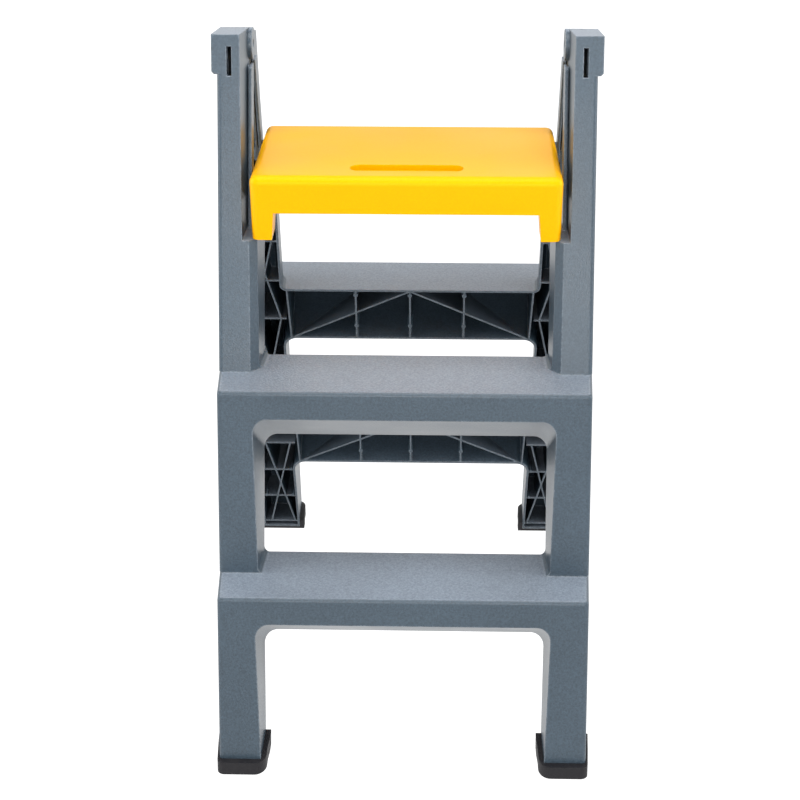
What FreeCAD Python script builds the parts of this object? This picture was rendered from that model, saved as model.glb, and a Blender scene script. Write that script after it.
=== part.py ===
"""Folding step stool: two ribbed channel frames hinged at their ears, and a tilting seat.

Millimetres, +Z up, the user faces the stool looking along +Y.
The origin is on the floor, midway between the feet, straight below the hinge.
"""
import FreeCAD, Part
import math
import os

Vector = FreeCAD.Vector
SIDES = {"left": -1.0, "right": 1.0}

# Stance of the two frames, seen from the side
hinge_height = 795.0
stance_half = 274.5
ear_gap = 0.4

# Width of a frame moulding, and the slopes that let it leave its mould
rim_half_width = 221.0
side_draft = 0.074
wall = 3.0
edge_round = 4.5

# Depth of the front frame from its rim to its face, taken along Y
floor_depth = 53.5
tread_depth = 111.5
lower_upright_depth = 52.8
upper_upright_depth = 54.5
hinge_depth = 92.3

# Treads and the bars under them
first_rise = 224.0
second_rise = 225.0
skirt_height = 33.0
front_bar_height = 90.0
rear_bar_drop = 8.0
rear_bar_height = 81.0

# Widths of the uprights at the rim, and the outward slopes of the openings between them
upright_width = 52.0
gap_draft = 0.05
leg_width = 54.2
leg_gap_draft = 0.02
leg_gap_taper = 0.012
ear_width = 34.0
seat_gap_draft = 0.02
arch_round = 16.0
step_round = 7.0
ledge_drop = 79.0

# Slanted inner front edge of an upright, between the second tread and the ledge
bevel_width = 9.0
bevel_depth = 10.0

# Rail along the inner side of an upright, beside the seat
rail_inset = 39.0
rail_thickness = 3.4
rail_depth = 24.0
rail_web_low = 10.0
rail_web_high = 12.5
rail_head_room = 3.0

# Ears and the hinge between them
front_ear_rise = 29.0
rear_ear_drop = 5.0
ear_height = 43.0
ear_chamfer = 3.0
knuckle_radius = 18.5
knuckle_clearance = 0.4
knuckle_web_length = 64.5
cheek_width = 18.0
lug_length = 20.1
slot_setback = 4.8
slot_width = 5.4
slot_half_height = 16.0

# Hinge hardware
hinge_pin_radius = 5.0
pin_head_radius = 9.0
pin_head_thickness = 3.0
running_clearance = 0.05
recess_clearance = 0.5
head_recess = 4.0
pin_tail = 1.5

# Ribs inside the channels
rib_thickness = 2.2
rib_setback = 1.5
bar_rib_spacing = 72.0
bar_end_rib_inset = 5.5
bar_end_rib_lean = 3.0
cross_rib_inner_inset = 4.0
cross_rib_outer_inset = 12.5
cross_rib_rise = 86.0
leg_rib_start = 15.0
leg_rib_pitch = 51.7
leg_rib_count = 4
mid_rib_rise = 2.0
mid_rib_pitch = 83.0
mid_rib_count = 3
top_rib_rise = 5.0
top_rib_pitch = 62.0
top_rib_count = 5

# Rubber feet
sole_thickness = 4.5
foot_wall = 3.0
foot_toe = 10.0
front_foot_height = 26.0
rear_foot_height = 38.0
foot_lip_height = 16.5
foot_lip_margin = 2.0
foot_lip_round = 6.0
foot_inner_wall = 7.3
foot_gap_draft = 0.09
foot_outer_round = 10.0
foot_inner_round = 13.0
foot_rim_setback = 0.5

# Seat moulding
seat_top = 677.0
seat_length = 225.0
seat_front_lean = 0.165
seat_side_gap = 4.5
seat_skirt = 45.0
seat_wall = 3.0
seat_round = 9.0
seat_rib_bottom_gap = 10.0
seat_rib_spacing_x = 86.0
seat_rib_count_x = 3
seat_rib_spacing_y = 62.0
seat_rib_count_y = 2
seat_leg_top_width = 28.0
seat_leg_bottom_width = 22.0
seat_leg_depth = 50.0
seat_leg_clearance = 0.3
grip_half_width = 65.0
grip_front_gap = 27.0
grip_length = 26.0
grip_depth = 7.0

# Seat pivot
seat_pin_reach = 10.2434
seat_pin_drop = 29.0
seat_pin_back_gap = 15.0
seat_pin_radius = 4.0
seat_boss_radius = 8.5
seat_boss_length = 9.0
seat_pad_half = 9.0
seat_pad_gap = 0.7
seat_pad_root = 5.0

# Reach of the cutting solids past the surfaces that they cut
reach = 12.0
far = 400.0

# Half widths that follow the frame's width, from the outside inwards
gap_half_width = rim_half_width - upright_width
leg_gap_half_width = rim_half_width - leg_width
seat_gap_half_width = rim_half_width - ear_width
foot_gap_half_width = leg_gap_half_width - foot_inner_wall
rail_gap = rim_half_width - rail_inset
cheek_inner = rim_half_width - cheek_width
lug_outer = cheek_inner - knuckle_clearance
lug_inner = lug_outer - lug_length
slot_inner = cheek_inner - slot_setback
seat_half_width = rail_gap - seat_side_gap
seat_leg_inner_top = seat_half_width - seat_leg_top_width
seat_leg_inner_bottom = seat_half_width - seat_leg_bottom_width
seat_pad_face = seat_half_width + seat_pad_gap
seat_pad_end = seat_gap_half_width + seat_pad_root
bar_end_rib_top = gap_half_width - bar_end_rib_inset
cross_rib_inner = gap_half_width + cross_rib_inner_inset
cross_rib_outer = rim_half_width - cross_rib_outer_inset

# Heights that follow the hinge, the treads and the seat
front_ear_top = hinge_height + front_ear_rise
rear_ear_top = hinge_height - rear_ear_drop
slot_low = hinge_height - slot_half_height
slot_high = hinge_height + slot_half_height
knuckle_top = hinge_height + knuckle_radius
front_tread_tops = (first_rise, first_rise + second_rise)
rear_tread_tops = tuple(top - rear_bar_drop for top in front_tread_tops)
mid_rib_start = front_tread_tops[0] + mid_rib_rise
top_rib_start = front_tread_tops[1] + top_rib_rise
cross_rib_top = top_rib_start + cross_rib_rise
ledge_height = seat_top - ledge_drop
seat_pin_height = seat_top - seat_pin_drop

# Places along Y that follow the lean of the frames
rim_slope = stance_half / hinge_height
lean = math.atan(rim_slope)
seat_pin_y = stance_half - rim_slope * seat_pin_height + seat_pin_reach
seat_back = seat_pin_y + seat_pin_back_gap
seat_front = seat_back - seat_length
seat_pin_place = Vector(0.0, seat_pin_y, seat_pin_height)
hinge_place = Vector(0.0, 0.0, hinge_height)


class FrameForm:
    """The values in which the front frame and the rear frame differ."""

    def __init__(self, foot_height, tread_tops, bar_height, ear_top, knuckle, other_knuckle):
        self.foot_height = foot_height
        self.tread_tops = tread_tops
        self.bar_height = bar_height
        self.ear_top = ear_top
        self.knuckle = knuckle
        self.other_knuckle = other_knuckle


FRONT = FrameForm(
    front_foot_height, front_tread_tops, front_bar_height, front_ear_top,
    (cheek_inner, rim_half_width), (lug_inner, lug_outer))
REAR = FrameForm(
    rear_foot_height, rear_tread_tops, rear_bar_height, rear_ear_top,
    (lug_inner, lug_outer), (cheek_inner, rim_half_width))


def rim_y(z):
    """Y of the front frame's rim plane at a height."""
    return -(hinge_height - z) * rim_slope


def face_line(z_low, depth_low, z_high, depth_high):
    """Y of a face that is straight between two depths from the rim."""
    y_low = rim_y(z_low) - depth_low
    y_high = rim_y(z_high) - depth_high
    slope = (y_high - y_low) / (z_high - z_low)
    return lambda z: y_low + slope * (z - z_low)


def faces_of(form):
    """The face lines below the first tread, between the treads, and above them."""
    low, high = form.tread_tops
    return (
        face_line(0.0, floor_depth, low, tread_depth),
        face_line(low, lower_upright_depth, high, tread_depth),
        face_line(high, upper_upright_depth, hinge_height, hinge_depth))


def side_prism(outline, x_low, x_high):
    """Solid of an outline in Y and Z, between two X values."""
    points = [Vector(x_low, y, z) for y, z in outline]
    face = Part.Face(Part.makePolygon(points + points[:1]))
    return face.extrude(Vector(x_high - x_low, 0.0, 0.0))


def front_prism(outline, y_low, y_high):
    """Solid of an outline in X and Z, between two Y values."""
    points = [Vector(x, y_low, z) for x, z in outline]
    face = Part.Face(Part.makePolygon(points + points[:1]))
    return face.extrude(Vector(0.0, y_high - y_low, 0.0))


def rim_point(x, depth, along):
    """Point at a depth square to the rim plane and a distance along it from the hinge."""
    y = along * math.sin(lean) - depth * math.cos(lean)
    z = hinge_height + along * math.cos(lean) + depth * math.sin(lean)
    return Vector(x, y, z)


def rim_prism(plan, along_low, along_high):
    """Solid of a plan in X and depth, run along the lean of the rim."""
    points = [rim_point(x, depth, along_low) for x, depth in plan]
    face = Part.Face(Part.makePolygon(points + points[:1]))
    run = rim_point(0.0, 0.0, along_high) - rim_point(0.0, 0.0, along_low)
    return face.extrude(run)


def drafted_width(half_width, draft, taper=0.0):
    """Everything between two planes that close in with depth and open with height."""
    deep = far / 2.0
    ends = []
    for along in (-hinge_height - far, far):
        half = half_width + taper * (along + hinge_height / math.cos(lean))
        near_half = half + draft * reach
        deep_half = half - draft * deep
        plan = [(-near_half, -reach), (near_half, -reach), (deep_half, deep), (-deep_half, deep)]
        ends.append([rim_point(x, depth, along) for x, depth in plan])
    low, high = ends
    rings = [low, high]
    for index in range(len(low)):
        rings.append([low[index - 1], low[index], high[index], high[index - 1]])
    faces = [Part.Face(Part.makePolygon(ring + ring[:1])) for ring in rings]
    block = Part.makeSolid(Part.makeShell(faces))
    return block if block.Volume > 0.0 else block.reversed()


def x_cylinder(place, radius, x_low, x_high):
    """Cylinder along X through a place in the side view."""
    start = Vector(min(x_low, x_high), place.y, place.z)
    return Part.makeCylinder(radius, abs(x_high - x_low), start, Vector(1.0, 0.0, 0.0))


def both_sides(shape):
    """A right-hand solid together with its mirror image."""
    mirrored = shape.mirror(Vector(0.0, 0.0, 0.0), Vector(1.0, 0.0, 0.0))
    return [shape, mirrored]


def fuse_all(shapes):
    """One shape from many that overlap."""
    return shapes[0].multiFuse(shapes[1:])


def edges_where(shape, test):
    """Edges whose middle point passes a test."""
    chosen = []
    for edge in shape.Edges:
        middle = edge.valueAt((edge.FirstParameter + edge.LastParameter) / 2.0)
        if test(edge, middle):
            chosen.append(edge)
    return chosen


class Opening:
    """A gap between the uprights that widens and rises from the rim to the face."""

    def __init__(self, face, z_low, top_at_rim, top_at_face, half_width, draft, taper=0.0):
        self.face = face
        self.z_low = z_low
        self.top_at_rim = top_at_rim
        self.top_at_face = top_at_face
        self.half_width = half_width
        self.draft = draft
        self.taper = taper
        self.round_low = 0.0
        self.round_high = 0.0

    def outline(self, grow):
        """Side view of the gap, run past the rim and the face."""
        low = self.z_low - grow
        rim_end = (rim_y(self.top_at_rim), self.top_at_rim + grow)
        face_end = (self.face(self.top_at_face), self.top_at_face + grow)
        rise = (face_end[1] - rim_end[1]) / (face_end[0] - rim_end[0])
        return [
            (rim_y(low) + reach, low),
            (self.face(low) - reach, low),
            (face_end[0] - reach, face_end[1] - rise * reach),
            (rim_end[0] + reach, rim_end[1] + rise * reach)]

    def solid(self, grow):
        """The gap itself, or with the walls around it when it is grown by their thickness."""
        block = side_prism(self.outline(grow), -far, far)
        sides = drafted_width(self.half_width + grow, -self.draft, self.taper)
        block = block.common(sides)
        middle_z = (self.z_low + self.top_at_rim) / 2.0
        for radius, above in ((self.round_low, False), (self.round_high, True)):
            if radius:
                corners = edges_where(block, lambda edge, middle: (
                    edge.BoundBox.YLength > edge.BoundBox.ZLength
                    and edge.BoundBox.YLength > edge.BoundBox.XLength
                    and (middle.z > middle_z) == above))
                block = block.makeFillet(radius + grow, corners)
        return block


def openings_of(form):
    """The gaps of one frame, from the floor up to the ears."""
    low, high = form.tread_tops
    bottom_face, middle_face, upper_face = faces_of(form)
    legs = Opening(
        bottom_face, -reach, low - form.bar_height, low - skirt_height,
        leg_gap_half_width, leg_gap_draft, leg_gap_taper)
    legs.round_high = arch_round
    window = Opening(
        middle_face, low, high - form.bar_height, high - skirt_height, gap_half_width, gap_draft)
    window.round_low = step_round
    window.round_high = arch_round
    below_seat = Opening(
        upper_face, high, ledge_height + wall, ledge_height + wall, gap_half_width, gap_draft)
    below_seat.round_low = step_round
    top = front_ear_top + reach
    beside_seat = Opening(
        upper_face, ledge_height, top, top, seat_gap_half_width, seat_gap_draft)
    return [legs, window, below_seat, beside_seat]


def bevel(form, grow):
    """Cut along the inner front edges of the uprights, below the ledge."""
    face = faces_of(form)[2]
    low = form.tread_tops[1] - grow
    high = ledge_height + wall
    slope = bevel_width / bevel_depth
    edge = gap_half_width + gap_draft * upper_upright_depth + bevel_width + grow
    deep = (edge - reach) / slope
    plan = [
        (edge + reach * slope, face(low) - reach),
        (edge - deep * slope, face(low) + deep),
        (0.0, face(low) - reach)]
    points = [Vector(x, y, low) for x, y in plan]
    side = Part.Face(Part.makePolygon(points + points[:1]))
    return both_sides(side.extrude(Vector(0.0, face(high) - face(low), high - low)))


def gaps_solid(form, grow):
    """All gaps of a frame as one solid."""
    gaps = [opening.solid(grow) for opening in openings_of(form)]
    return fuse_all(gaps + bevel(form, grow))


def upper_outline(form, inset):
    """Side outline above the second tread, with the sloping top of the ear."""
    high = form.tread_tops[1]
    face = faces_of(form)[2]
    floor = high - 2.0 * inset
    top = form.ear_top - inset
    back = reach if inset else -ear_gap / 2.0
    return [
        (rim_y(floor) + (reach if inset else 0.0), floor),
        (face(floor) + inset, floor),
        (face(top) + inset, top),
        (-ear_gap / 2.0, knuckle_top - inset),
        (back, knuckle_top - inset),
        (back, hinge_height)]


def section_outline(face, z_low, z_high, inset):
    """Side outline of one stretch of a frame."""
    past = reach if inset else 0.0
    return [
        (rim_y(z_low) + past, z_low), (face(z_low) + inset, z_low),
        (face(z_high) + inset, z_high), (rim_y(z_high) + past, z_high)]


def rounded_stretch(outline, face, z_nose):
    """One stretch of a frame with its outer edges rounded, and its nose where it has one."""
    block = side_prism(outline, -far, far).common(drafted_width(rim_half_width, side_draft))

    def along_face(edge, middle):
        on_face = abs(middle.y - face(middle.z)) < wall / 2.0
        rises = edge.BoundBox.ZLength > wall
        return on_face and rises

    block = block.makeFillet(edge_round, edges_where(block, along_face))
    if z_nose is None:
        return block

    def along_nose(edge, middle):
        level = abs(middle.z - z_nose) < wall / 4.0 and edge.BoundBox.ZLength < wall / 4.0
        return level and middle.y < face(z_nose) + edge_round

    return block.makeFillet(edge_round, edges_where(block, along_nose))


def ear_block(form, inset):
    """Outer half of an ear, which keeps the full width out to the face."""
    face = faces_of(form)[2]
    low = form.ear_top - ear_height + inset
    top = form.ear_top - inset
    outline = [
        (rim_y(low) + (reach if inset else 0.0), low),
        (face(low) + inset, low),
        (face(top) + inset, top),
        (-ear_gap / 2.0, knuckle_top - inset),
        (reach if inset else -ear_gap / 2.0, knuckle_top - inset),
        (reach if inset else -ear_gap / 2.0, hinge_height)]
    x_low = cheek_inner + inset
    x_high = rim_half_width - inset
    front = [
        (x_low, low), (x_high - ear_chamfer, low), (x_high, low + ear_chamfer),
        (x_high, front_ear_top + reach), (x_low, front_ear_top + reach)]
    return side_prism(outline, x_low, x_high).common(front_prism(front, -far, far))


def frame_outside(form):
    """Frame as if solid, with its gaps cut and its knuckles in place."""
    low, high = form.tread_tops
    bottom_face, middle_face, upper_face = faces_of(form)
    bottom = rounded_stretch(
        section_outline(bottom_face, sole_thickness, low, 0.0), bottom_face, low)
    middle = rounded_stretch(section_outline(middle_face, low, high, 0.0), middle_face, high)
    upper = rounded_stretch(upper_outline(form, 0.0), upper_face, None)
    ears = both_sides(ear_block(form, 0.0))
    body = fuse_all([bottom, middle, upper] + ears).cut(gaps_solid(form, 0.0))
    inner, outer = form.other_knuckle
    cut_radius = knuckle_radius + knuckle_clearance
    cut_low = inner - (reach if inner == lug_inner else knuckle_clearance)
    cut_high = outer + (reach if outer == rim_half_width else knuckle_clearance)
    body = body.cut(fuse_all(both_sides(
        x_cylinder(hinge_place, cut_radius, cut_low, cut_high))))
    knuckles = both_sides(x_cylinder(hinge_place, knuckle_radius, *form.knuckle))
    return body.fuse(knuckles)


def plate(first, last, thickness):
    """Rib between two points of the front view, as deep as the frame."""
    run = (last[0] - first[0], last[1] - first[1])
    length = math.hypot(*run)
    side = (-run[1] / length * thickness / 2.0, run[0] / length * thickness / 2.0)
    outline = [
        (first[0] + side[0], first[1] + side[1]), (last[0] + side[0], last[1] + side[1]),
        (last[0] - side[0], last[1] - side[1]), (first[0] - side[0], first[1] - side[1])]
    return front_prism(outline, -far, reach)


def rib_levels(start, pitch, count):
    """Heights of a row of level ribs."""
    return [start + pitch * step for step in range(count)]


def leg_ribs(form):
    """Level ribs and crossed ribs inside the right upright."""
    bottom = rib_levels(leg_rib_start, leg_rib_pitch, leg_rib_count)
    middle = rib_levels(mid_rib_start, mid_rib_pitch, mid_rib_count)
    top = rib_levels(top_rib_start, top_rib_pitch, top_rib_count)
    inner = gap_half_width - wall
    outer = rim_half_width + wall
    ribs = [plate((inner, z), (outer, z), rib_thickness) for z in bottom + middle + top]
    crossings = [(bottom[0], bottom[-1]), (middle[0], middle[-1]), (middle[-1], cross_rib_top)]
    for z_low, z_high in crossings:
        ribs.append(plate((cross_rib_inner, z_low), (cross_rib_outer, z_high), rib_thickness))
        ribs.append(plate((cross_rib_inner, z_high), (cross_rib_outer, z_low), rib_thickness))
    return ribs


def bar_ribs(top, height):
    """Upright ribs and gable ribs inside one bar, right half and middle."""
    low = top - height
    ribs = [plate((x, low - wall), (x, top), rib_thickness) for x in (0.0, bar_rib_spacing)]
    end_low = (bar_end_rib_top - bar_end_rib_lean, low)
    end_high = (bar_end_rib_top, top)
    ribs.append(plate(end_low, end_high, rib_thickness))
    ribs.append(plate(end_low, (0.0, top - wall), rib_thickness))
    return ribs


def ribs_of(form):
    """All ribs of a frame, stopped just short of its rim."""
    ribs = leg_ribs(form)
    for top in form.tread_tops:
        ribs += bar_ribs(top, form.bar_height)
    solid = fuse_all(ribs + [rib.mirror(Vector(), Vector(1.0, 0.0, 0.0)) for rib in ribs])
    plan = [(-far, rib_setback), (far, rib_setback), (far, far), (-far, far)]
    return solid.common(rim_prism(plan, -hinge_height - far, far))


def knuckle_mount(form):
    """Solid that carries a knuckle inside its ear, with the wall beside it."""
    low, high = form.knuckle
    beside = low if low == cheek_inner else high - wall
    foot_z = form.ear_top - knuckle_web_length
    web = [
        (beside, foot_z), (beside + wall, foot_z),
        (beside + wall, front_ear_top), (beside, front_ear_top)]
    return x_cylinder(hinge_place, knuckle_radius, low, high).fuse(front_prism(web, -far, 0.0))


def frame_hollow(form):
    """Space inside a frame, open along the whole rim."""
    low, high = form.tread_tops
    bottom_face, middle_face, _ = faces_of(form)
    narrow = drafted_width(rim_half_width - wall, side_draft)
    stretches = [
        section_outline(bottom_face, sole_thickness + wall, low - wall, wall),
        section_outline(middle_face, low - 2.0 * wall, high - wall, wall),
        upper_outline(form, wall)]
    hollow = fuse_all([side_prism(outline, -far, far) for outline in stretches]).common(narrow)
    hollow = fuse_all([hollow] + both_sides(ear_block(form, wall)))
    hollow = hollow.cut(gaps_solid(form, wall))
    hollow = hollow.cut(fuse_all(both_sides(knuckle_mount(form))))
    return hollow.cut(ribs_of(form))


def rails(form):
    """Rails on the inner sides of the uprights, each on a web, from the ledge to the hinge."""
    edge = rail_gap + rail_thickness
    root = seat_gap_half_width + wall / 2.0
    plan = [
        (rail_gap, 0.0), (edge, 0.0), (edge, rail_web_low), (root, rail_web_low),
        (root, rail_web_high), (edge, rail_web_high), (edge, rail_depth), (rail_gap, rail_depth)]
    top = hinge_height - knuckle_radius - rail_head_room
    level = [
        (-far, ledge_height - wall / 2.0), (far, ledge_height - wall / 2.0), (far, top),
        (-far, top)]
    bar = rim_prism(plan, -far, 0.0)
    return both_sides(bar.common(side_prism(level, 0.0, far)))


def frame_moulding(form):
    """One complete frame with its rim towards +Y."""
    body = frame_outside(form).cut(frame_hollow(form))
    return body.fuse(rails(form))


def front_frame():
    """Front frame, with the bore and the head recess for each hinge pin."""
    body = frame_moulding(FRONT)
    face = faces_of(FRONT)[2]
    slot_outer = slot_inner + slot_width
    outline = [
        (slot_inner, slot_low), (slot_outer, slot_low), (slot_outer, slot_high),
        (slot_inner, slot_high)]
    slot = front_prism(outline, face(slot_low) - reach, face(slot_high) + 2.0 * wall)
    bore = x_cylinder(hinge_place, hinge_pin_radius, cheek_inner - wall, rim_half_width + wall)
    recess = x_cylinder(
        hinge_place, pin_head_radius + recess_clearance,
        rim_half_width - head_recess, rim_half_width + wall)
    return body.cut(fuse_all(both_sides(bore.fuse(recess)) + both_sides(slot)))


def seat_pad():
    """Pad inside the right rear upright that holds the seat pin."""
    across = rim_y(seat_pin_height) + seat_pin_y
    depth = across * math.cos(lean)
    along = (seat_pin_height - hinge_height) / math.cos(lean) - across * math.sin(lean)
    plan = [
        (seat_pad_face, depth - seat_pad_half), (seat_pad_end, depth - seat_pad_half),
        (seat_pad_end, depth + seat_pad_half), (seat_pad_face, depth + seat_pad_half)]
    pad = rim_prism(plan, along - seat_pad_half, along + seat_pad_half)
    return pad.mirror(Vector(), Vector(0.0, 1.0, 0.0))


def rear_frame():
    """Rear frame, with the hinge bores and the pads of the seat pivot."""
    body = frame_moulding(REAR).mirror(Vector(), Vector(0.0, 1.0, 0.0))
    body = body.fuse(both_sides(seat_pad()))
    bore = x_cylinder(
        hinge_place, hinge_pin_radius + running_clearance, lug_inner - wall, lug_outer + wall)
    seat_bore = x_cylinder(
        seat_pin_place, seat_pin_radius, seat_pad_face - wall, seat_pad_end + wall)
    return body.cut(fuse_all(both_sides(bore) + both_sides(seat_bore)))


def foot(form, side):
    """Rubber cap around the lower end of a leg, open towards the rim, with a low front lip."""
    face = faces_of(form)[0]
    top = form.foot_height
    outline = [
        (rim_y(0.0) - foot_rim_setback, 0.0), (face(0.0) - foot_toe, 0.0),
        (face(top) - foot_toe, top), (rim_y(top) - foot_rim_setback, top)]
    block = side_prism(outline, 0.0, side * far)
    block = block.common(drafted_width(rim_half_width + foot_wall, side_draft))
    block = block.cut(drafted_width(foot_gap_half_width, -foot_gap_draft))
    centre = side * (rim_half_width + leg_gap_half_width) / 2.0
    for radius, outer in ((foot_outer_round, True), (foot_inner_round, False)):
        corner = edges_where(block, lambda edge, middle: (
            middle.y < face(middle.z) - foot_toe / 2.0
            and edge.BoundBox.ZLength > foot_wall
            and (abs(middle.x) > abs(centre)) == outer))
        block = block.makeFillet(radius, corner)
    half = (rim_half_width - leg_gap_half_width) / 2.0 - foot_lip_margin
    lip = [
        (centre - half, foot_lip_height + foot_lip_round),
        (centre - half + foot_lip_round, foot_lip_height),
        (centre + half - foot_lip_round, foot_lip_height),
        (centre + half, foot_lip_height + foot_lip_round),
        (centre + half, top + reach), (centre - half, top + reach)]
    block = block.cut(front_prism(lip, -far, face(foot_lip_height)))
    return block.cut(leg_plug(form))


def leg_plug(form):
    """The space that both legs fill inside their feet."""
    face = faces_of(form)[0]
    outline = section_outline(face, sole_thickness, form.foot_height + reach, 0.0)
    outline[0] = (outline[0][0] + reach, outline[0][1])
    outline[-1] = (outline[-1][0] + reach, outline[-1][1])
    block = side_prism(outline, -far, far).common(drafted_width(rim_half_width, side_draft))

    def along_face(edge, middle):
        on_face = abs(middle.y - face(middle.z)) < wall / 2.0
        return on_face and edge.BoundBox.ZLength > wall

    block = block.makeFillet(edge_round, edges_where(block, along_face))
    return block.cut(openings_of(form)[0].solid(0.0))


def rounded_box(x_half, y_low, y_high, z_low, z_high, radius):
    """Box with rounded upright edges."""
    size = (2.0 * x_half, y_high - y_low, z_high - z_low)
    box = Part.makeBox(*size, Vector(-x_half, y_low, z_low))
    upright = edges_where(box, lambda edge, middle: edge.BoundBox.ZLength > size[2] / 2.0)
    return box.makeFillet(radius, upright)


def seat_block(inset):
    """Seat filled down to the soles of its legs, or the room inside its walls."""
    low = ledge_height + seat_leg_clearance - (reach if inset else 0.0)
    top = seat_top - inset
    half = seat_half_width - inset
    radius = seat_round - inset
    front_low = seat_front + seat_front_lean * (seat_top - low) + inset
    front_top = seat_front + seat_front_lean * (seat_top - top) + inset
    outline = [
        (front_low, low), (front_top, top), (seat_back - inset, top), (seat_back - inset, low)]
    block = side_prism(outline, -half, half)
    if inset:
        outer = edges_where(block, lambda edge, middle: middle.z > low)
        return block.makeChamfer(radius * (2.0 - math.sqrt(2.0)), outer)
    upright = edges_where(block, lambda edge, middle: edge.BoundBox.ZLength > seat_skirt)
    block = block.makeFillet(radius, upright)
    rim = edges_where(block, lambda edge, middle: middle.z > top - seat_wall)
    return block.makeFillet(radius, rim)


def seat_leg(inset):
    """Right front leg of the seat, which stands on the front frame's ledge."""
    low = ledge_height - reach
    top = seat_top - seat_skirt / 2.0
    outline = [
        (seat_leg_inner_bottom + inset, low), (far, low), (far, top),
        (seat_leg_inner_top + inset, top)]
    return front_prism(outline, seat_front - reach, seat_front + seat_leg_depth - inset)


def skirt_zone(low):
    """Everything above a height."""
    corner = Vector(-far, seat_front - reach, low)
    return Part.makeBox(2.0 * far, seat_back - seat_front + 2.0 * reach, far, corner)


def grip(grow):
    """Finger recess across the front of the seat."""
    y_low = seat_front + grip_front_gap - grow
    y_high = seat_front + grip_front_gap + grip_length + grow
    z_low = seat_top - grip_depth - grow
    round_end = (y_high - y_low) / 2.0 - seat_wall / 4.0
    return rounded_box(grip_half_width + grow, y_low, y_high, z_low, seat_top + reach, round_end)


def seat_ribs():
    """Ribs under the seat, lengthways and across."""
    low = seat_top - seat_skirt + seat_rib_bottom_gap
    height = seat_skirt
    length = seat_back - seat_front
    centre_y = (seat_back + seat_front) / 2.0
    ribs = []
    for index in range(seat_rib_count_x):
        x = (index - (seat_rib_count_x - 1) / 2.0) * seat_rib_spacing_x
        corner = Vector(x - rib_thickness / 2.0, seat_front, low)
        ribs.append(Part.makeBox(rib_thickness, length, height, corner))
    for index in range(seat_rib_count_y):
        y = centre_y + (index - (seat_rib_count_y - 1) / 2.0) * seat_rib_spacing_y
        corner = Vector(-seat_half_width, y - rib_thickness / 2.0, low)
        ribs.append(Part.makeBox(2.0 * seat_half_width, rib_thickness, height, corner))
    return ribs


def seat():
    """Seat moulding with its front legs, grip recess, ribs and pivot bosses."""
    legs = both_sides(seat_leg(0.0))
    bottom = seat_top - seat_skirt
    outside = seat_block(0.0).common(fuse_all([skirt_zone(bottom)] + legs)).cut(grip(0.0))
    room = skirt_zone(bottom - reach).cut(fuse_all(legs))
    room = fuse_all([room] + both_sides(seat_leg(seat_wall)))
    boss = x_cylinder(
        seat_pin_place, seat_boss_radius, seat_half_width - seat_boss_length, seat_half_width)
    hollow = seat_block(seat_wall).common(room)
    hollow = hollow.cut(fuse_all(seat_ribs() + both_sides(boss) + [grip(seat_wall)]))
    body = outside.cut(hollow)
    bore = x_cylinder(
        seat_pin_place, seat_pin_radius + running_clearance,
        seat_half_width - seat_boss_length - wall, seat_half_width + wall)
    return body.cut(fuse_all(both_sides(bore)))


def hinge_pin():
    """Right hinge pin with its head in the cheek's recess."""
    head_face = rim_half_width - head_recess
    tail = lug_inner + pin_tail
    shank = x_cylinder(hinge_place, hinge_pin_radius, tail, head_face)
    head = x_cylinder(
        hinge_place, pin_head_radius, head_face, head_face + pin_head_thickness)
    return shank.fuse(head)


def seat_pin():
    """Right seat pin, pressed into the rear upright's pad."""
    tail = seat_half_width - seat_boss_length - pin_tail
    return x_cylinder(seat_pin_place, seat_pin_radius, tail, seat_pad_end)


def build():
    """Every piece of the stool by name."""
    pieces = {
        "front_frame": front_frame(),
        "rear_frame": rear_frame(),
        "seat": seat()}
    for side_name, side in SIDES.items():
        pieces["front_" + side_name + "_foot"] = foot(FRONT, side)
        rear_foot = foot(REAR, side).mirror(Vector(), Vector(0.0, 1.0, 0.0))
        pieces["rear_" + side_name + "_foot"] = rear_foot
    pieces["hinge_pins"] = Part.makeCompound(both_sides(hinge_pin()))
    pieces["seat_pins"] = Part.makeCompound(both_sides(seat_pin()))
    return pieces


def main():
    """Write one STEP file for each piece."""
    os.makedirs("parts", exist_ok=True)
    for name, shape in build().items():
        solids = shape.Solids
        piece = solids[0] if len(solids) == 1 else Part.makeCompound(solids)
        piece.exportStep(os.path.join("parts", name + ".step"))
        print(name, len(solids), "solids", round(shape.Volume / 1000.0, 1), "cm3", shape.isValid())


main()
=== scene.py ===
"""Studio picture of a folding step stool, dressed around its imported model.

Everything is in metres, +Z up, with the treads towards -Y.
"""

import logging
import math
from dataclasses import dataclass, field
from enum import Enum

import bmesh
import bpy
from mathutils import Matrix, Vector

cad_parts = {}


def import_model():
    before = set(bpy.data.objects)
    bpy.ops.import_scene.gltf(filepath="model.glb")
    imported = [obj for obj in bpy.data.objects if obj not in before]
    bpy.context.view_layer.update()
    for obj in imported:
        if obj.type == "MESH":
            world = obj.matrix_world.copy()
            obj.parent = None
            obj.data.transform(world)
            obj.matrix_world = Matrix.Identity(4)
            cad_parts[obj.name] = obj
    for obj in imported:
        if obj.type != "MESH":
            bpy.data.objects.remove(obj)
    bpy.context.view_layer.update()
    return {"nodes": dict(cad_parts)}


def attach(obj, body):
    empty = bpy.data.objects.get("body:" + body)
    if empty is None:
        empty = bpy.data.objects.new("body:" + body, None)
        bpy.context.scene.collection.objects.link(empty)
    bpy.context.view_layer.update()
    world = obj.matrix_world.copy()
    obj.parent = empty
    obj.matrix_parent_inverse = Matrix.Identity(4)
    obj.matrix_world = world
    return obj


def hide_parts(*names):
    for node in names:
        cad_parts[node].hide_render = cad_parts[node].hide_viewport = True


log = logging.getLogger("step_stool")

MM = 0.001
BEVEL_SAMPLES = 4
SHARP_ANGLE = math.radians(35.0)
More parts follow.
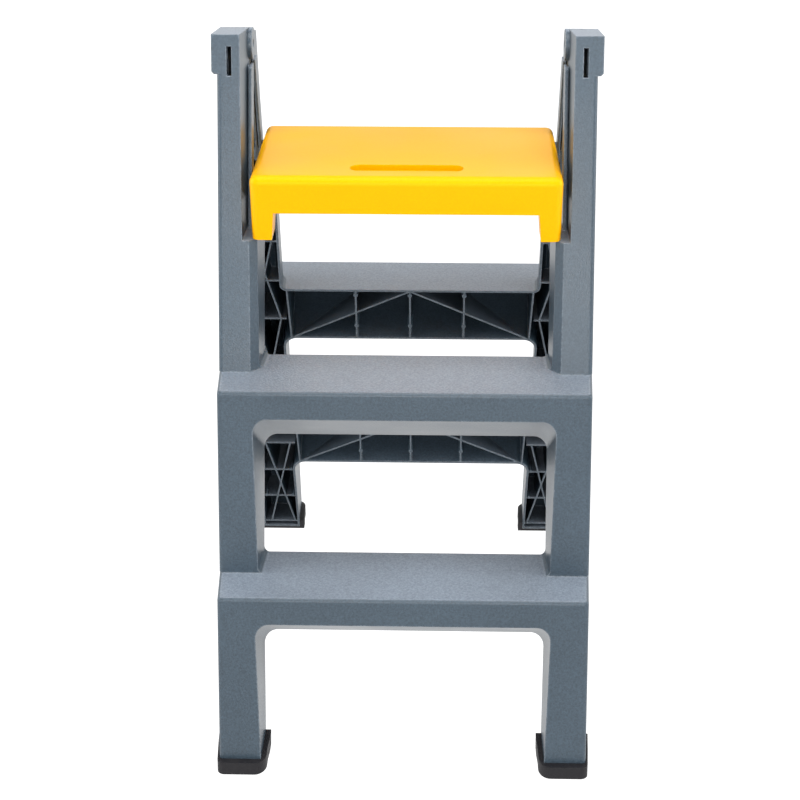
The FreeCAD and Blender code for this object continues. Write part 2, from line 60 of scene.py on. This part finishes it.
# Nearly all of a noise pattern lies in this band.
NOISE_BAND = (0.3, 0.7)
# Places of the Mix node's colour sockets.
MIX_FIRST, MIX_SECOND, MIX_RESULT = 6, 7, 2


class Side(Enum):
    """The two halves of the stool, seen by a person in front of it."""

    LEFT = -1.0
    RIGHT = 1.0


class Body(Enum):
    """Rigid bodies of the stool that carry the pieces made here."""

    FRONT = "front"
    REAR = "rear"

    @property
    def facing(self) -> float:
        """Direction along Y in which the frame's treads look."""
        return -1.0 if self is Body.FRONT else 1.0


TREAD_TOPS = {
    Body.FRONT: (224.0 * MM, 449.0 * MM),
    Body.REAR: (216.0 * MM, 441.0 * MM)}


class NodeBuilder:
    """Puts shader nodes into one material."""

    def __init__(self, name: str) -> None:
        """Start an empty material.

        Args:
            name: Name of the material.
        """
        self.material = bpy.data.materials.new(name)
        self.material.use_nodes = True
        self.tree = self.material.node_tree
        self.tree.nodes.clear()
        self.column = 0

    def add(self, kind: str, **settings: object) -> bpy.types.Node:
        """Add a node and set its properties.

        Args:
            kind: Type name of the node.
            **settings: Properties of the node by name.

        Returns:
            The new node.
        """
        node = self.tree.nodes.new(kind)
        node.location = (self.column * 180.0, 0.0)
        self.column += 1
        for name, value in settings.items():
            setattr(node, name, value)
        return node

    def link(self, source: bpy.types.NodeSocket, target: bpy.types.NodeSocket) -> None:
        """Join an output to an input.

        Args:
            source: The output.
            target: The input.
        """
        self.tree.links.new(source, target)

    def noise(self, vector: bpy.types.NodeSocket, scale: float, detail: float,
              roughness: float = 0.5) -> bpy.types.NodeSocket:
        """Add a noise pattern.

        Args:
            vector: Coordinates that the pattern reads.
            scale: Cells in each metre.
            detail: Octaves of the pattern.
            roughness: Weight of the finer octaves.

        Returns:
            The pattern's value.
        """
        node = self.add("ShaderNodeTexNoise")
        node.inputs["Scale"].default_value = scale
        node.inputs["Detail"].default_value = detail
        node.inputs["Roughness"].default_value = roughness
        self.link(vector, node.inputs["Vector"])
        return node.outputs["Fac"]

    def cells(self, vector: bpy.types.NodeSocket, scale: float) -> bpy.types.NodeSocket:
        """Add a pattern of small pebbles.

        Args:
            vector: Coordinates that the pattern reads.
            scale: Pebbles in each metre.

        Returns:
            Distance from the middle of the nearest pebble.
        """
        node = self.add("ShaderNodeTexVoronoi")
        node.feature = "SMOOTH_F1"
        node.inputs["Scale"].default_value = scale
        self.link(vector, node.inputs["Vector"])
        return node.outputs["Distance"]

    def spread(self, value: bpy.types.NodeSocket, low: float, high: float,
               out_low: float, out_high: float) -> bpy.types.NodeSocket:
        """Map a value from one range to another and clamp it.

        Args:
            value: The value to map.
            low: Lower end of the range that is read.
            high: Upper end of the range that is read.
            out_low: Result at the lower end.
            out_high: Result at the upper end.

        Returns:
            The mapped value.
        """
        node = self.add("ShaderNodeMapRange", clamp=True)
        node.inputs["From Min"].default_value = low
        node.inputs["From Max"].default_value = high
        node.inputs["To Min"].default_value = out_low
        node.inputs["To Max"].default_value = out_high
        self.link(value, node.inputs["Value"])
        return node.outputs["Result"]

    def vary(self, pattern: bpy.types.NodeSocket, out_low: float,
             out_high: float) -> bpy.types.NodeSocket:
        """Map the usual range of a noise pattern to another range.

        Args:
            pattern: Value of the pattern.
            out_low: Result where the pattern is low.
            out_high: Result where the pattern is high.

        Returns:
            The mapped value.
        """
        return self.spread(pattern, *NOISE_BAND, out_low, out_high)

    def combine(self, operation: str, first: bpy.types.NodeSocket,
                second: bpy.types.NodeSocket | float) -> bpy.types.NodeSocket:
        """Add a sum, product or other result of two values.

        Args:
            operation: Name of the operation.
            first: First value.
            second: Second value, a socket or a number.

        Returns:
            The result.
        """
        node = self.add("ShaderNodeMath", operation=operation)
        self.link(first, node.inputs[0])
        if isinstance(second, float):
            node.inputs[1].default_value = second
        else:
            self.link(second, node.inputs[1])
        return node.outputs[0]

    def blend(self, factor: bpy.types.NodeSocket, first: tuple | bpy.types.NodeSocket,
              second: tuple | bpy.types.NodeSocket) -> bpy.types.NodeSocket:
        """Mix two colours.

        Args:
            factor: Share of the second colour.
            first: First colour, three numbers or a socket.
            second: Second colour, three numbers or a socket.

        Returns:
            The mixed colour.
        """
        node = self.add("ShaderNodeMix", data_type="RGBA")
        self.link(factor, node.inputs["Factor"])
        for value, place in ((first, MIX_FIRST), (second, MIX_SECOND)):
            if isinstance(value, tuple):
                node.inputs[place].default_value = (*value, 1.0)
            else:
                self.link(value, node.inputs[place])
        return node.outputs[MIX_RESULT]

    def soft_normal(self, radius: float) -> bpy.types.NodeSocket:
        """Round the shading of sharp edges.

        Args:
            radius: Radius of the rounding.

        Returns:
            The rounded normal.
        """
        node = self.add("ShaderNodeBevel", samples=BEVEL_SAMPLES)
        node.inputs["Radius"].default_value = radius
        return node.outputs["Normal"]

    def bump(self, height: bpy.types.NodeSocket, normal: bpy.types.NodeSocket,
             distance: float, strength: float) -> bpy.types.NodeSocket:
        """Press a relief into a surface.

        Args:
            height: The relief.
            normal: The surface's own normal.
            distance: Depth of the relief.
            strength: How strongly it shows.

        Returns:
            The normal with the relief.
        """
        node = self.add("ShaderNodeBump")
        node.inputs["Distance"].default_value = distance
        node.inputs["Strength"].default_value = strength
        self.link(height, node.inputs["Height"])
        self.link(normal, node.inputs["Normal"])
        return node.outputs["Normal"]

    def surface(self, shader: bpy.types.NodeSocket) -> bpy.types.Material:
        """Make a shader the surface of the material.

        Args:
            shader: Output of the shader.

        Returns:
            The finished material.
        """
        out = self.add("ShaderNodeOutputMaterial")
        self.link(shader, out.inputs["Surface"])
        return self.material


def linear(red: float, green: float, blue: float) -> tuple[float, float, float]:
    """Turn a colour written as on a screen into scene colour, by the sRGB curve.

    Args:
        red: Red from 0 to 255.
        green: Green from 0 to 255.
        blue: Blue from 0 to 255.

    Returns:
        The colour in linear light.
    """
    def one(value: float) -> float:
        """Turn one channel."""
        share = value / 255.0
        return share / 12.92 if share <= 0.04045 else ((share + 0.055) / 1.055) ** 2.4

    return one(red), one(green), one(blue)


@dataclass(frozen=True)
class MouldedPlastic:
    """Injection moulded plastic with a fine spark grain, soft edges lightened by a painted
    highlight mixed with wear, and painted light on the faces that look up.
    """

    name: str
    colour: tuple[float, float, float]
    # Lighter colour of the soft edges: a painted edge highlight, mixed with scuffs of wear.
    highlight_and_wear_colour: tuple[float, float, float]
    roughness: float
    grain_per_metre: float
    grain_height: float
    mottle: float
    edge_radius: float
    specular: float = 0.5
    sheen_tint: tuple[float, float, float] = (1.0, 1.0, 1.0)
    tread_grain: float = 0.0
    # Lighter colour of the faces that look up: painted light from above.
    lit_top_colour: tuple[float, float, float] = (0.5, 0.5, 0.5)
    broad_per_metre: float = 7.0
    pebble_share: float = 0.8
    speckle_share: float = 0.42
    speckle_gain: float = 3.2
    speckle_band: tuple[float, float] = (0.32, 0.68)
    edge_band: tuple[float, float] = (0.99, 0.86)
    scuffs_per_metre: float = 160.0
    scuff_band: tuple[float, float] = (0.35, 0.65)
    scuff_strength: tuple[float, float] = (0.35, 0.85)
    level_band: tuple[float, float] = (0.86, 0.98)
    stipple_band: tuple[float, float] = (0.15, 0.6)
    stipple_height: float = 1.5
    smoother: float = 0.05
    rougher: float = 0.06
    bump_strength: float = 0.7
    refraction: float = 1.5

    def tone(self, build: NodeBuilder, spot: bpy.types.NodeSocket,
             broad: bpy.types.NodeSocket) -> bpy.types.NodeSocket:
        """Vary the brightness in broad patches and in a coarse speckle.

        Args:
            build: The material's nodes.
            spot: Coordinates on the piece.
            broad: The broad pattern.

        Returns:
            Factor of the brightness.
        """
        patches = build.vary(broad, 1.0 - self.mottle, 1.0 + self.mottle)
        coarse = build.noise(spot, self.grain_per_metre * self.speckle_share, 3.0, 0.7)
        swing = self.mottle * self.speckle_gain
        speckle = build.spread(coarse, *self.speckle_band, 1.0 - swing, 1.0 + swing)
        return build.combine("MULTIPLY", patches, speckle)

    def highlight_and_wear_share(self, build: NodeBuilder, spot: bpy.types.NodeSocket,
             rounded: bpy.types.NodeSocket) -> bpy.types.NodeSocket:
        """Find the rounded edges that get a painted highlight mixed with wear, broken up by
        scuffs.

        Args:
            build: The material's nodes.
            spot: Coordinates on the piece.
            rounded: Normal with rounded edges.

        Returns:
            Share of the lighter edge colour, a painted highlight mixed with wear.
        """
        flat = build.add("ShaderNodeNewGeometry")
        turn = build.add("ShaderNodeVectorMath", operation="DOT_PRODUCT")
        build.link(rounded, turn.inputs[0])
        build.link(flat.outputs["Normal"], turn.inputs[1])
        edge = build.spread(turn.outputs["Value"], *self.edge_band, 0.0, 1.0)
        scratches = build.noise(spot, self.scuffs_per_metre, 4.0)
        scuffs = build.spread(scratches, *self.scuff_band, *self.scuff_strength)
        return build.combine("MULTIPLY", edge, scuffs)

    def level(self, build: NodeBuilder,
              normal: bpy.types.NodeSocket) -> bpy.types.NodeSocket:
        """Find the faces that look straight up, as the treads do; they get the painted top
        light and the tread pebbles.

        Args:
            build: The material's nodes.
            normal: The piece's own normal.

        Returns:
            One on level faces and zero elsewhere.
        """
        up = build.add("ShaderNodeSeparateXYZ")
        build.link(normal, up.inputs[0])
        return build.spread(up.outputs["Z"], *self.level_band, 0.0, 1.0)

    def stipple(self, build: NodeBuilder, spot: bpy.types.NodeSocket,
                level: bpy.types.NodeSocket) -> bpy.types.NodeSocket:
        """Raise the anti-slip pebbles of the treads.

        Args:
            build: The material's nodes.
            spot: Coordinates on the piece.
            level: Share of the tread's finish.

        Returns:
            Height of the pebbles.
        """
        pebbles = build.cells(spot, self.tread_grain)
        raised = build.spread(pebbles, *self.stipple_band, self.stipple_height, 0.0)
        return build.combine("MULTIPLY", raised, level)

    def material(self) -> bpy.types.Material:
        """Build the shader.

        Returns:
            The finished material.
        """
        build = NodeBuilder(self.name)
        place = build.add("ShaderNodeTexCoord")
        spot = place.outputs["Object"]
        broad = build.noise(spot, self.broad_per_metre, 3.0)
        fine = build.noise(spot, self.grain_per_metre, 2.0, 0.6)
        pebbles = build.cells(spot, self.grain_per_metre * self.pebble_share)
        height = build.combine("ADD", fine, pebbles)
        rounded = build.soft_normal(self.edge_radius)
        base: tuple | bpy.types.NodeSocket = self.colour
        if self.tread_grain:
            level = self.level(build, place.outputs["Normal"])
            # Faces that look up get a lighter colour: painted light from above.
            base = build.blend(level, self.colour, self.lit_top_colour)
            height = build.combine("ADD", height, self.stipple(build, spot, level))
        # Rounded edges get a lighter colour: a painted highlight, mixed with wear.
        base = build.blend(self.highlight_and_wear_share(build, spot, rounded), base, self.highlight_and_wear_colour)
        toned = build.add("ShaderNodeVectorMath", operation="SCALE")
        build.link(base, toned.inputs[0])
        build.link(self.tone(build, spot, broad), toned.inputs["Scale"])
        rough = build.vary(
            broad, self.roughness - self.smoother, self.roughness + self.rougher)
        shader = build.add("ShaderNodeBsdfPrincipled")
        build.link(toned.outputs[0], shader.inputs["Base Color"])
        build.link(rough, shader.inputs["Roughness"])
        build.link(build.bump(height, rounded, self.grain_height, self.bump_strength),
                   shader.inputs["Normal"])
        shader.inputs["IOR"].default_value = self.refraction
        shader.inputs["Specular IOR Level"].default_value = self.specular
        shader.inputs["Specular Tint"].default_value = (*self.sheen_tint, 1.0)
        return build.surface(shader.outputs["BSDF"])


@dataclass(frozen=True)
class MouldedRubber:
    """Dull rubber with dust in its pores."""

    name: str
    colour: tuple[float, float, float]
    dust: tuple[float, float, float]
    dust_per_metre: float = 40.0
    dust_band: tuple[float, float] = (0.45, 0.75)
    dust_share: float = 0.35
    pores_per_metre: float = 1400.0
    pore_depth: float = 0.0003
    pore_strength: float = 0.6
    edge_radius: float = 0.0015
    specular: float = 0.3
    roughness_range: tuple[float, float] = (0.5, 0.72)

    def material(self) -> bpy.types.Material:
        """Build the shader.

        Returns:
            The finished material.
        """
        build = NodeBuilder(self.name)
        spot = build.add("ShaderNodeTexCoord").outputs["Object"]
        broad = build.noise(spot, self.dust_per_metre, 5.0, 0.65)
        pores = build.noise(spot, self.pores_per_metre, 2.0)
        dusty = build.spread(broad, *self.dust_band, 0.0, self.dust_share)
        rounded = build.soft_normal(self.edge_radius)
        shader = build.add("ShaderNodeBsdfPrincipled")
        build.link(build.blend(dusty, self.colour, self.dust), shader.inputs["Base Color"])
        shader.inputs["Specular IOR Level"].default_value = self.specular
        build.link(build.vary(broad, *self.roughness_range), shader.inputs["Roughness"])
        build.link(build.bump(pores, rounded, self.pore_depth, self.pore_strength),
                   shader.inputs["Normal"])
        return build.surface(shader.outputs["BSDF"])


@dataclass(frozen=True)
class PlatedSteel:
    """Zinc plated steel, turned on a lathe."""

    name: str
    colour: tuple[float, float, float]
    dull: tuple[float, float, float]
    dull_share: float = 0.4
    marks_per_metre: float = 500.0
    lathe_stretch: tuple[float, float, float] = (6.0, 1.0, 1.0)
    roughness_range: tuple[float, float] = (0.25, 0.42)

    def material(self) -> bpy.types.Material:
        """Build the shader.

        Returns:
            The finished material.
        """
        build = NodeBuilder(self.name)
        spot = build.add("ShaderNodeTexCoord").outputs["Object"]
        turned = build.add("ShaderNodeMapping")
        turned.inputs["Scale"].default_value = self.lathe_stretch
        build.link(spot, turned.inputs["Vector"])
        marks = build.noise(turned.outputs["Vector"], self.marks_per_metre, 3.0)
        dulled = build.blend(build.vary(marks, 0.0, self.dull_share), self.colour, self.dull)
        shader = build.add("ShaderNodeBsdfPrincipled")
        shader.inputs["Metallic"].default_value = 1.0
        build.link(dulled, shader.inputs["Base Color"])
        build.link(build.vary(marks, *self.roughness_range), shader.inputs["Roughness"])
        return build.surface(shader.outputs["BSDF"])


# Its second colour is a painted edge highlight mixed with wear; its last colour is painted
# light on the faces that look up.
FRAME_PLASTIC = MouldedPlastic(
    name="frame_plastic_grained", colour=linear(60, 75, 87), highlight_and_wear_colour=linear(150, 160, 170),
    roughness=0.34, grain_per_metre=900.0, grain_height=0.00016, mottle=0.075,
    edge_radius=0.0026, tread_grain=520.0, lit_top_colour=linear(126, 136, 148))
# Its second colour is a painted edge highlight mixed with wear.
SEAT_PLASTIC = MouldedPlastic(
    name="seat_plastic_satin", colour=linear(255, 183, 0), highlight_and_wear_colour=linear(255, 205, 40),
    roughness=0.38, grain_per_metre=1100.0, grain_height=0.00005, mottle=0.015,
    edge_radius=0.0012, specular=0.3, sheen_tint=(1.0, 0.8, 0.2))
FOOT_RUBBER = MouldedRubber(
    name="foot_rubber_dull", colour=linear(24, 23, 27), dust=linear(60, 58, 58))
PIN_STEEL = PlatedSteel(
    name="pin_steel_plated", colour=linear(190, 190, 192), dull=linear(120, 118, 112))


def new_object(name: str, mesh: bmesh.types.BMesh, material: bpy.types.Material,
               smooth: bool = True) -> bpy.types.Object:
    """Turn a finished bmesh into an object at the origin.

    Args:
        name: Name of the piece.
        mesh: Its shape, in place.
        material: Its finish.
        smooth: Whether its faces are shaded as one surface.

    Returns:
        The new object.
    """
    bmesh.ops.recalc_face_normals(mesh, faces=mesh.faces)
    data = bpy.data.meshes.new(name)
    mesh.to_mesh(data)
    mesh.free()
    for face in data.polygons:
        face.use_smooth = smooth
    if smooth:
        data.set_sharp_from_angle(angle=SHARP_ANGLE)
    data.materials.append(material)
    piece = bpy.data.objects.new(name, data)
    bpy.context.scene.collection.objects.link(piece)
    return piece


def dress(node: bpy.types.Object, material: bpy.types.Material) -> None:
    """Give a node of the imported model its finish.

    Args:
        node: The node's object.
        material: Its finish.
    """
    node.data.materials.clear()
    node.data.materials.append(material)


@dataclass
class PackedNodes:
    """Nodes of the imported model, each with the finish of its kind."""

    finishes: dict[str, bpy.types.Material] = field(default_factory=dict)

    def build(self, nodes: dict[str, bpy.types.Object]) -> None:
        """Dress every node.

        Args:
            nodes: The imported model's objects by name.
        """
        plastic = FRAME_PLASTIC.material()
        rubber = FOOT_RUBBER.material()
        steel = PIN_STEEL.material()
        self.finishes = {
            "frame": plastic, "foot": rubber, "pins": steel, "seat": SEAT_PLASTIC.material()}
        for name, node in nodes.items():
            dress(node, self.finishes.get(name.split("_")[-1], steel))
            log.info("dressed %s", name)


@dataclass(frozen=True)
class RimPlane:
    """Plane in which the rims of the two frames lie when the stool is folded."""

    hinge_height: float = 795.0 * MM
    stance_half: float = 274.5 * MM

    def point(self, body: Body, across: float, height: float, depth: float) -> Vector:
        """Find a point inside a frame's channel.

        Args:
            body: The frame.
            across: Distance along X.
            height: Height on the rim plane.
            depth: Distance from the rim plane into the channel.

        Returns:
            The point in the stool's frame.
        """
        lean = math.atan2(self.stance_half, self.hinge_height)
        rim = self.stance_half * (1.0 - height / self.hinge_height)
        return Vector((across, body.facing * (rim + depth * math.cos(lean)),
                       height + depth * math.sin(lean)))


@dataclass(frozen=True)
class BossSpot:
    """Place and size of one moulded boss."""

    across: float
    height: float
    radius: float
    length: float


@dataclass
class ChannelBosses:
    """Small round bosses where the ribs of one frame meet."""

    body: Body
    tread_tops: tuple[float, float]
    finish: bpy.types.Material
    plane: RimPlane = field(default_factory=RimPlane)
    spacing: float = 72.0 * MM
    drops: tuple[float, float] = (10.5 * MM, 60.5 * MM)
    lengths: tuple[float, float] = (8.0 * MM, 24.0 * MM)
    setback: float = 1.0 * MM
    leg_levels: tuple[float, float] = (66.7 * MM, 118.4 * MM)
    leg_ends: tuple[float, float] = (173.5 * MM, 213.0 * MM)
    bar_radius: float = 3.1 * MM
    leg_radius: float = 2.3 * MM
    leg_length: float = 14.0 * MM
    round_segments: int = 28
    end_round: float = 0.35
    end_steps: int = 3
    end_reach: float = 0.01 * MM

    def spots(self) -> list[BossSpot]:
        """List the bosses of both bars and both legs.

        Returns:
            One entry for each boss.
        """
        found = []
        for top in self.tread_tops:
            for drop, length in zip(self.drops, self.lengths):
                for step in (-1.0, 0.0, 1.0):
                    found.append(
                        BossSpot(step * self.spacing, top - drop, self.bar_radius, length))
        for side in Side:
            for level in self.leg_levels:
                for across in self.leg_ends:
                    found.append(
                        BossSpot(side.value * across, level, self.leg_radius, self.leg_length))
        return found

    def add_boss(self, mesh: bmesh.types.BMesh, spot: BossSpot) -> None:
        """Add one boss with a rounded end.

        Args:
            mesh: Where it goes.
            spot: Its place and size.
        """
        near = self.plane.point(self.body, spot.across, spot.height, self.setback)
        deep = self.plane.point(self.body, spot.across, spot.height, self.setback + spot.length)
        run = deep - near
        turn = run.to_track_quat("Z", "Y").to_matrix().to_4x4()
        made = bmesh.ops.create_cone(
            mesh, cap_ends=True, segments=self.round_segments, radius1=spot.radius,
            radius2=spot.radius, depth=run.length,
            matrix=Matrix.Translation((near + deep) / 2.0) @ turn)
        outward = run.normalized()
        ends = {edge for vertex in made["verts"] for edge in vertex.link_edges
                if all((end.co - near).dot(outward) < self.end_reach for end in edge.verts)}
        bmesh.ops.bevel(
            mesh, geom=list(ends), offset=spot.radius * self.end_round, offset_type="OFFSET",
            segments=self.end_steps, profile=0.5, affect="EDGES", material=-1,
            clamp_overlap=True)

    def build(self) -> None:
        """Make the bosses of this frame as one piece."""
        mesh = bmesh.new()
        for spot in self.spots():
            self.add_boss(mesh, spot)
        name = f"{self.body.value}_rib_bosses"
        piece = new_object(name, mesh, self.finish)
        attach(piece, self.body.value)
        log.info("built %s", name)


@dataclass
class RubberFoot:
    """Rubber cap around the lower end of one leg, open towards the rim."""

    body: Body
    side: Side
    finish: bpy.types.Material
    rim_at_floor: float = 275.0 * MM
    rim_slope: float = 0.34528
    toe_at_floor: float = 337.6 * MM
    toe_slope: float = 0.0856
    leg_face: float = 0.81
    wall_top: float = 17.0 * MM
    lip_top: float = 15.0 * MM
    floor_inside: float = 6.0 * MM
    inner_side: tuple[float, float] = (160.6 * MM, 161.6 * MM)
    outer_side: tuple[float, float] = (223.6 * MM, 219.6 * MM)
    leg_inner: tuple[float, float] = (168.6 * MM, 169.9 * MM)
    leg_outer: tuple[float, float] = (219.2 * MM, 215.6 * MM)
    inner_round: tuple[float, float] = (14.0 * MM, 0.30)
    outer_round: tuple[float, float] = (9.0 * MM, 0.15)
    corner_steps: int = 10
    inner_bends: tuple[float, float] = (0.25, 0.5)
    outer_bend: float = 0.45
    dip_start: float = 0.62
    dip_run: float = 0.3
    edge_width: float = 1.1 * MM
    edge_steps: int = 3
    edge_angle: float = math.radians(40.0)

    def corner(self, across: float, width: float, reach: float,
               start: float) -> list[tuple[float, float]]:
        """Round one corner of the toe by a quarter turn.

        Args:
            across: Middle of the corner's curve.
            width: Its half width.
            reach: Its depth as a share of the way from rim to toe.
            start: Angle at which it starts.

        Returns:
            Points of the curve, as in the path.
        """
        angles = [start - math.pi / 2.0 * step / self.corner_steps
                  for step in range(self.corner_steps + 1)]
        return [(across + width * math.cos(angle), 1.0 - reach + reach * math.sin(angle))
                for angle in angles]

    def path(self) -> list[tuple[float, float]]:
        """Follow the outside of the cap in plan, from rim to rim.

        Returns:
            Distances from the middle plane, each with its share of the way from rim to toe.
        """
        near, far = self.inner_bends
        points = [(self.inner_side[0], 0.0), (self.inner_side[0], near),
                  (self.inner_side[1], far)]
        width, reach = self.inner_round
        points += self.corner(self.inner_side[1] + width, width, reach, math.pi)
        width, reach = self.outer_round
        points += self.corner(self.outer_side[1] - width, width, reach, math.pi / 2.0)
        middle = (self.outer_side[0] + self.outer_side[1]) / 2.0
        return points + [(middle, self.outer_bend), (self.outer_side[0], 0.0)]

    def against_leg(self, across: float, share: float) -> tuple[float, float]:
        """Find the point on the leg that faces a point of the outside.

        Args:
            across: Distance of the outside point from the middle plane.
            share: Its share of the way from rim to toe.

        Returns:
            The same two measures of the point on the leg.
        """
        share = min(share, self.leg_face)
        part = share / self.leg_face
        low = self.leg_inner[0] + (self.leg_inner[1] - self.leg_inner[0]) * part
        high = self.leg_outer[0] + (self.leg_outer[1] - self.leg_outer[0]) * part
        return min(max(across, low), high), share

    def place(self, across: float, share: float, height: float) -> Vector:
        """Turn a plan point at a height into a point of the stool.

        Args:
            across: Distance from the middle plane.
            share: Share of the way from rim to toe.
            height: Height above the floor.

        Returns:
            The point in the stool's frame.
        """
        rim = self.rim_at_floor - self.rim_slope * height
        toe = self.toe_at_floor - self.toe_slope * height
        return Vector((self.side.value * across,
                       self.body.facing * (rim + (toe - rim) * share), height))

    def top(self, share: float) -> float:
        """Find the height of the cap's upper edge, which dips at the toe.

        Args:
            share: Share of the way from rim to toe.

        Returns:
            The height above the floor.
        """
        dip = min(max((share - self.dip_start) / self.dip_run, 0.0), 1.0)
        return self.wall_top - (self.wall_top - self.lip_top) * dip * dip * (3.0 - 2.0 * dip)

    def build(self) -> None:
        """Make the cap as one closed piece."""
        mesh = bmesh.new()
        rings: list[list[bmesh.types.BMVert]] = [[], [], [], []]
        for across, share in self.path():
            edge = self.top(share)
            inside = self.against_leg(across, share)
            for ring, spot in zip(rings, (
                    self.place(across, share, 0.0), self.place(across, share, edge),
                    self.place(*inside, edge), self.place(*inside, self.floor_inside))):
                ring.append(mesh.verts.new(spot))
        for low, high in zip(rings, rings[1:]):
            for step in range(len(low) - 1):
                mesh.faces.new((low[step], low[step + 1], high[step + 1], high[step]))
        for end in (0, -1):
            mesh.faces.new([ring[end] for ring in rings])
        mesh.faces.new(rings[0])
        mesh.faces.new(rings[3])
        mesh.faces.new((rings[0][-1], rings[0][0], rings[3][0], rings[3][-1]))
        name = f"{self.body.value}_{self.side.name.lower()}_foot"
        piece = new_object(f"{name}_cap", mesh, self.finish)
        soft = piece.modifiers.new("soft_edges", "BEVEL")
        soft.width = self.edge_width
        soft.segments = self.edge_steps
        soft.limit_method = "ANGLE"
        soft.angle_limit = self.edge_angle
        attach(piece, self.body.value)
        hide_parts(name)
        log.info("built %s", name)


@dataclass(frozen=True)
class SoftLamp:
    """Square lamp panel that points at one spot."""

    name: str
    place: tuple[float, float, float]
    target: tuple[float, float, float]
    size: float
    power: float

    def hang(self) -> None:
        """Put the lamp into the scene."""
        data = bpy.data.lights.new(self.name, "AREA")
        data.shape = "SQUARE"
        data.size = self.size
        data.energy = self.power
        lamp = bpy.data.objects.new(self.name, data)
        lamp.location = self.place
        aim = Vector(self.target) - Vector(self.place)
        lamp.rotation_euler = aim.to_track_quat("-Z", "Y").to_euler()
        bpy.context.scene.collection.objects.link(lamp)


LAMPS = (
    SoftLamp("lamp_over", (0.1, -0.7, 2.5), (0.0, -0.1, 0.4), 1.6, 36.0),
    SoftLamp("lamp_front", (0.0, -3.4, 1.0), (0.0, 0.0, 0.7), 1.0, 36.0),
    SoftLamp("lamp_left", (-2.2, -0.5, 1.2), (0.0, 0.0, 0.4), 1.6, 26.0),
    SoftLamp("lamp_right", (2.2, -0.5, 1.2), (0.0, 0.0, 0.4), 1.6, 26.0))


@dataclass
class Studio:
    """White floor and backdrop, soft lamps, and the camera."""

    floor_size: float = 16.0
    camera_place: tuple[float, float, float] = (0.0368, -2.0314, 1.2516)
    camera_tilt: float = 65.767
    camera_turn: float = 1.324
    focal_length: float = 78.29
    sensor_width: float = 36.0
    world_strength: float = 0.42
    backdrop_glow: float = 1.25
    floor_colour: tuple[float, float, float] = (0.86, 0.86, 0.86)
    floor_roughness: float = 0.9

    def backdrop_material(self) -> bpy.types.Material:
        """Build the floor's finish, which the camera sees as white.

        Returns:
            The finished material.
        """
        build = NodeBuilder("studio_white")
        shader = build.add("ShaderNodeBsdfPrincipled")
        shader.inputs["Base Color"].default_value = (*self.floor_colour, 1.0)
        shader.inputs["Roughness"].default_value = self.floor_roughness
        glow = build.add("ShaderNodeEmission")
        glow.inputs["Strength"].default_value = self.backdrop_glow
        path = build.add("ShaderNodeLightPath")
        seen = build.combine(
            "MAXIMUM", path.outputs["Is Camera Ray"], path.outputs["Is Glossy Ray"])
        mix = build.add("ShaderNodeMixShader")
        build.link(seen, mix.inputs["Fac"])
        build.link(shader.outputs["BSDF"], mix.inputs[1])
        build.link(glow.outputs["Emission"], mix.inputs[2])
        return build.surface(mix.outputs["Shader"])

    def floor(self) -> None:
        """Lay the floor."""
        mesh = bmesh.new()
        bmesh.ops.create_grid(mesh, x_segments=1, y_segments=1, size=self.floor_size / 2.0)
        floor = new_object("studio_floor", mesh, self.backdrop_material(), smooth=False)

    def world(self) -> None:
        """Light the surroundings evenly, and show them white."""
        world = bpy.data.worlds.new("studio_world")
        world.use_nodes = True
        nodes = world.node_tree.nodes
        nodes["Background"].inputs["Color"].default_value = (1.0, 1.0, 1.0, 1.0)
        nodes["Background"].inputs["Strength"].default_value = self.world_strength
        seen = nodes.new("ShaderNodeBackground")
        seen.inputs["Strength"].default_value = self.backdrop_glow
        path = nodes.new("ShaderNodeLightPath")
        mix = nodes.new("ShaderNodeMixShader")
        either = nodes.new("ShaderNodeMath")
        either.operation = "MAXIMUM"
        links = world.node_tree.links
        links.new(path.outputs["Is Camera Ray"], either.inputs[0])
        links.new(path.outputs["Is Glossy Ray"], either.inputs[1])
        links.new(either.outputs[0], mix.inputs["Fac"])
        links.new(nodes["Background"].outputs[0], mix.inputs[1])
        links.new(seen.outputs[0], mix.inputs[2])
        links.new(mix.outputs[0], nodes["World Output"].inputs["Surface"])
        bpy.context.scene.world = world

    def camera(self) -> None:
        """Set up the camera at the photograph's view."""
        data = bpy.data.cameras.new("photo_view")
        data.lens = self.focal_length
        data.sensor_width = self.sensor_width
        camera = bpy.data.objects.new("photo_view", data)
        camera.location = self.camera_place
        camera.rotation_euler = (
            math.radians(self.camera_tilt), 0.0, math.radians(self.camera_turn))
        bpy.context.scene.collection.objects.link(camera)
        bpy.context.scene.camera = camera

    def build(self) -> None:
        """Set up the whole studio."""
        self.floor()
        self.world()
        for lamp in LAMPS:
            lamp.hang()
        self.camera()
        bpy.context.scene.view_settings.view_transform = "Standard"
        log.info("studio is set up")


def main() -> None:
    """Build the stool and the studio around it."""
    logging.basicConfig(level=logging.INFO)
    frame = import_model()
    nodes = PackedNodes()
    nodes.build(frame["nodes"])
    plastic = nodes.finishes["frame"]
    for body, tops in TREAD_TOPS.items():
        ChannelBosses(body, tops, plastic).build()
    for body in Body:
        for side in Side:
            RubberFoot(body, side, nodes.finishes["foot"]).build()
    Studio().build()


if __name__ == "__main__":
    main()
